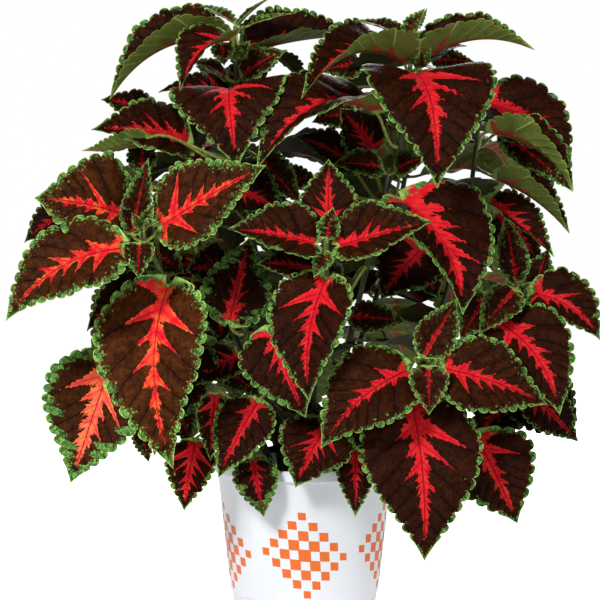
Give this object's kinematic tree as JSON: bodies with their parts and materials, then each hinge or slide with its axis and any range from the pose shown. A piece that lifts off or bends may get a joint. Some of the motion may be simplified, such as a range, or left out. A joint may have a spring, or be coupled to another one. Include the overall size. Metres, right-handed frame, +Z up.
{
  "type": "potted coleus plant",
  "caption": "Bushy coleus plant with toothed, pointed, variegated leaves on branching stems, growing in soil in a tapered round nursery pot with a rim band",
  "frame": {"origin": "centre of the pot's flat underside, on the pot's axis", "axes": "+Z up along the pot's axis; -Y is the front, the side with the densest leaves"},
  "size_m": [0.5564, 0.4604, 0.602],
  "materials": {
    "pot": "satin",
    "soil": "matte",
    "stem": "satin",
    "leaf": "satin"
  },
  "bodies": {
    "root": {"leaf_back_left_east": "leaf", "leaf_back_left_low": "leaf", "leaf_back_left_north": "leaf", "leaf_back_left_west": "leaf", "leaf_back_lower_left": "leaf", "leaf_back_lower_right": "leaf", "leaf_back_middle": "leaf", "leaf_back_right_east": "leaf", "leaf_back_right_low": "leaf", "leaf_back_right_north": "leaf", "leaf_centre_front": "leaf", "leaf_centre_left": "leaf", "leaf_centre_right": "leaf", "leaf_centre_up": "leaf", "leaf_front_rim": "leaf", "leaf_left_back": "leaf", "leaf_left_east": "leaf", "leaf_left_front": "leaf", "leaf_left_hanging": "leaf", "leaf_left_rim": "leaf", "leaf_left_west": "leaf", "leaf_lower_centre": "leaf", "leaf_lower_left": "leaf", "leaf_lower_left_inner": "leaf", "leaf_lower_middle": "leaf", "leaf_lower_right": "leaf", "leaf_lower_right_rim": "leaf", "leaf_middle_big": "leaf", "leaf_middle_front": "leaf", "leaf_middle_left_low": "leaf", "leaf_middle_left_up": "leaf", "leaf_right_east": "leaf", "leaf_right_front_east": "leaf", "leaf_right_front_hanging": "leaf", "leaf_right_front_west": "leaf", "leaf_right_hanging": "leaf", "leaf_top_left_east": "leaf", "leaf_top_left_front": "leaf", "leaf_top_left_hanging": "leaf", "leaf_top_left_north": "leaf", "leaf_top_left_west": "leaf", "leaf_top_middle": "leaf", "leaf_top_right_east": "leaf", "leaf_top_right_hanging": "leaf", "leaf_top_right_north": "leaf", "leaf_top_right_west": "leaf", "leaf_upper_left": "leaf", "leaf_upper_right": "leaf", "leaf_upper_right_front": "leaf", "leaf_upper_right_low": "leaf", "pot": "pot", "soil": "soil", "stem_back_left": "stem", "stem_back_right": "stem", "stem_centre": "stem", "stem_front_right": "stem", "stem_left": "stem", "stem_right": "stem", "stem_top_left": "stem", "stem_top_right": "stem"}
  },
  "joints": []
}
